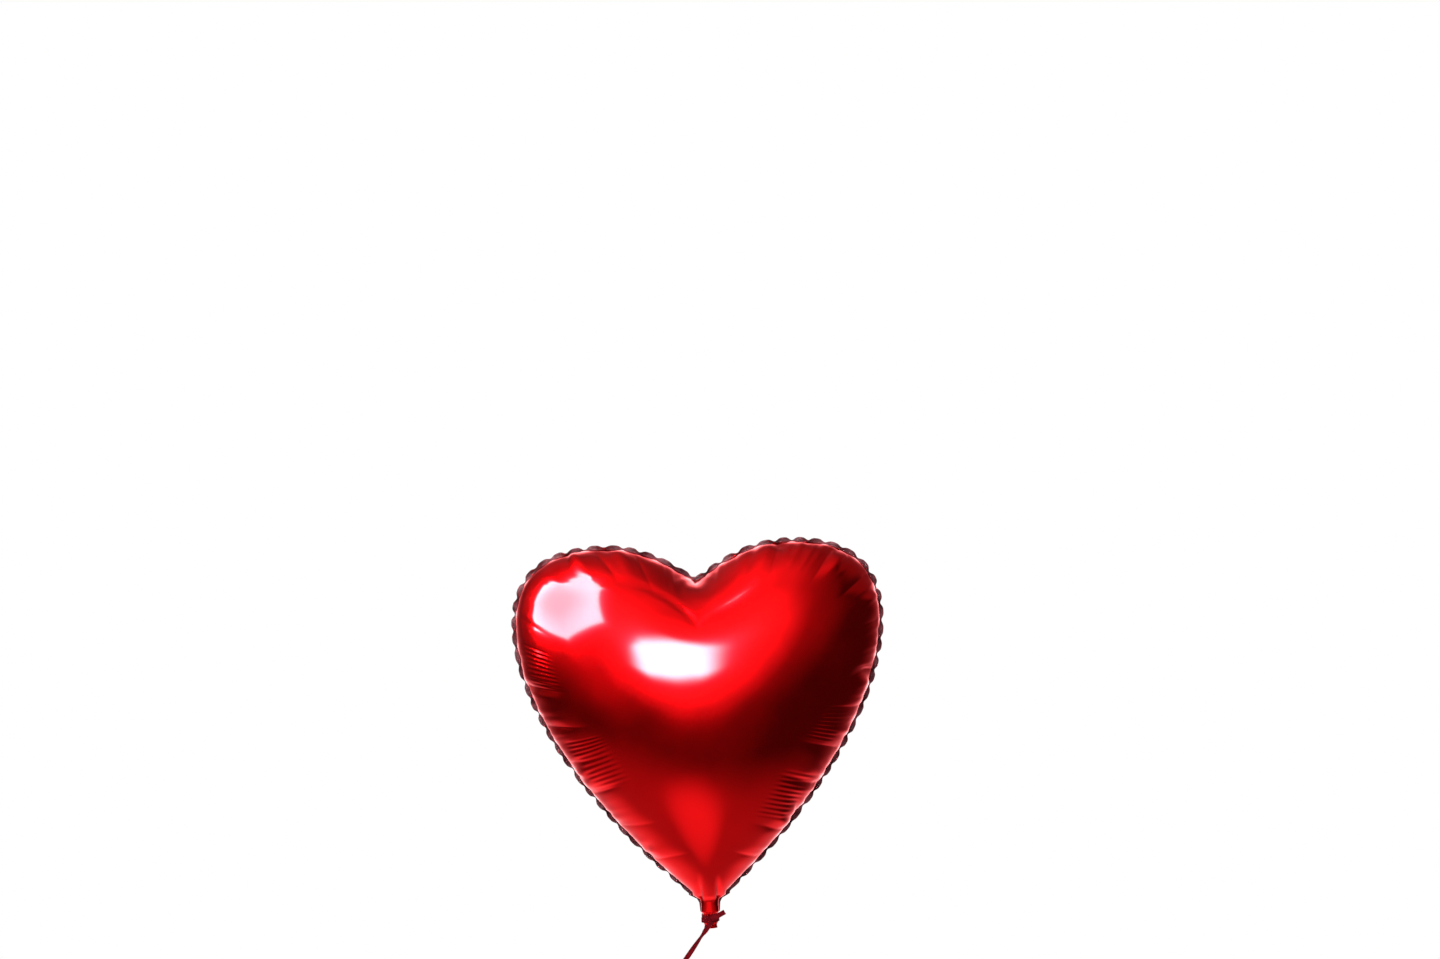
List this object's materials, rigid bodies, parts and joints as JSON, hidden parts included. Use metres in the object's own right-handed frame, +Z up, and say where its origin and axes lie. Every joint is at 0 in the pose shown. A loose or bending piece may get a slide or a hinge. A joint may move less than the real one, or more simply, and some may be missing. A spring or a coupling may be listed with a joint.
{
  "type": "heart foil balloon",
  "caption": "Inflated heart-shaped foil balloon with a rippled weld rim, a gathered neck, a self-sealing valve and a knotted ribbon tether that ends in a loop.",
  "frame": {"origin": "middle of the bare neck, between the heart's tip and the ribbon tied round it", "axes": "+Z up from the neck to the lobes, -Y out of the front panel, +X to the right as seen from the front"},
  "size_m": [0.38, 0.2, 0.4694],
  "materials": {
    "red_foil": "metallised film, mirror gloss",
    "clear_film": "clear polyethylene film",
    "ribbon": "satin polypropylene curling ribbon"
  },
  "bodies": {
    "envelope": {"front_panel": "red_foil", "rear_panel": "red_foil", "valve_film_front": "clear_film", "valve_film_rear": "clear_film"},
    "tie": {"neck_loop": "ribbon", "tie_knot": "ribbon"},
    "tag": {"tag_end": "ribbon"},
    "tether": {"ribbon": "ribbon", "loop_knot": "ribbon", "end_loop": "ribbon"}
  },
  "joints": [
    {"name": "tie_swivel", "type": "hinge", "parent": "envelope", "child": "tie", "pos_m": [0, 0, -0.01125], "axis": [0, 0, 1], "continuous": true},
    {"name": "ribbon_swing", "type": "hinge", "parent": "tie", "child": "tether", "pos_m": [-0.0005, -0.01105, -0.015], "axis": [0.7986, 0, -0.6018], "range_deg": [-75, 30]},
    {"name": "tag_bend", "type": "hinge", "parent": "tie", "child": "tag", "pos_m": [0.0025, -0.01055, -0.01], "axis": [0.4695, 0, -0.8829], "range_deg": [-30, 40], "stiffness_Nm_per_rad": 0.00002}
  ]
}
